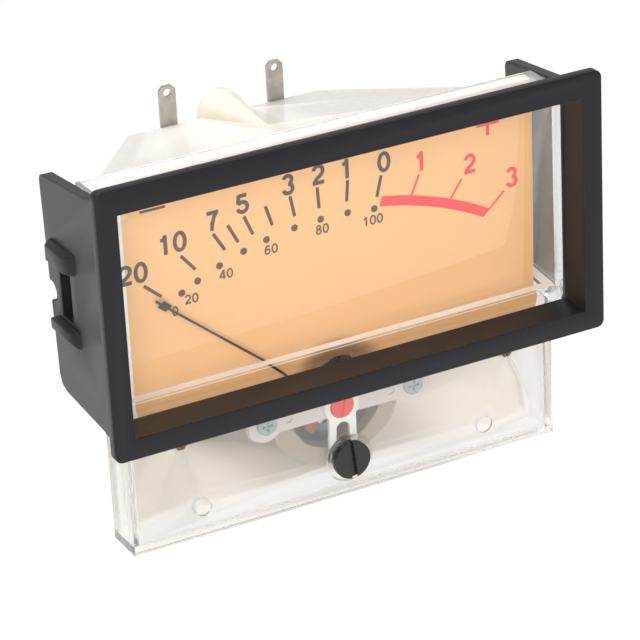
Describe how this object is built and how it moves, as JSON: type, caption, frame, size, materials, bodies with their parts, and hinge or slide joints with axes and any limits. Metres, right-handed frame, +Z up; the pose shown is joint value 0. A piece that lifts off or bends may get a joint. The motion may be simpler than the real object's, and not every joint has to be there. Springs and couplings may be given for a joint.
{
  "type": "analog panel meter",
  "caption": "Rectangular moving-coil panel meter with an amber level scale, clear cover, cream rear case, zero adjuster and a black clip-in bezel.",
  "frame": {"origin": "middle of the panel face, the rear face of the bezel flange, on the axis of the panel cut-out", "axes": "+X to the viewer's right along the bezel, +Y into the panel, +Z up"},
  "size_m": [0.098, 0.0542, 0.0736],
  "materials": {
    "bezel_black": "fine satin",
    "clear": "clear moulded plastic",
    "cream_case": "cream moulded plastic",
    "dial_amber": "printed amber film",
    "ink_dark": "printed ink",
    "ink_red": "printed ink",
    "ivory_frame": "moulded",
    "iron": "zinc plated",
    "magnet": "ground",
    "holder_zinc": "die cast",
    "bridge_white": "moulded",
    "zinc_screw": "zinc plated",
    "jewel_red": "glossy",
    "brass": "turned",
    "aluminium": "thin sheet",
    "copper_wire": "enamelled",
    "steel": "polished",
    "needle_black": "painted",
    "solder": "tinned",
    "spring_bronze": "rolled",
    "lever_white": "moulded",
    "screw_black": "moulded",
    "tinned_lug": "dull tinned",
    "rivet": "tinned",
    "wire_red": "insulated"
  },
  "bodies": {
    "meter": {"bezel": "bezel_black", "front_cover": "clear", "rear_case": "cream_case", "dial_plate": "dial_amber", "scale_black": "ink_dark", "scale_red": "ink_red", "movement_frame": "ivory_frame", "iron_ring": "iron", "core_magnet": "magnet", "core_holder": "holder_zinc", "front_bridge": "bridge_white", "bridge_screws": "zinc_screw", "jewel_front": "jewel_red", "jewel_rear": "brass", "hairspring_rear": "spring_bronze", "cover_screws": "brass", "terminal_lugs": "tinned_lug", "terminal_rivets": "rivet", "lead_wires": "wire_red"},
    "zero_knob": {"zero_screw": "screw_black"},
    "zero_arm": {"zero_lever": "lever_white", "hairspring_front": "spring_bronze"},
    "needle": {"pointer": "needle_black", "balance_weights": "solder", "coil_former": "aluminium", "coil_winding": "copper_wire", "pivots": "steel"}
  },
  "joints": [
    {"name": "zero_turn", "type": "hinge", "parent": "meter", "child": "zero_knob", "pos_m": [0, 0.0068, -0.0415], "axis": [0, 1, 0], "range_deg": [-30, 30]},
    {"name": "zero_arm_turn", "type": "hinge", "parent": "meter", "child": "zero_arm", "pos_m": [0, 0.0096, -0.0318], "axis": [0, 1, 0], "range_deg": [-6, 6]},
    {"name": "needle_turn", "type": "hinge", "parent": "zero_arm", "child": "needle", "pos_m": [0, 0.0129, -0.0318], "axis": [0, 1, 0], "range_deg": [0, 101], "stiffness_Nm_per_rad": 0.000012, "springref_deg": -5.73}
  ],
  "couplings": [
    {"joint": "zero_arm_turn", "follows": "zero_turn", "ratio": -0.188}
  ]
}
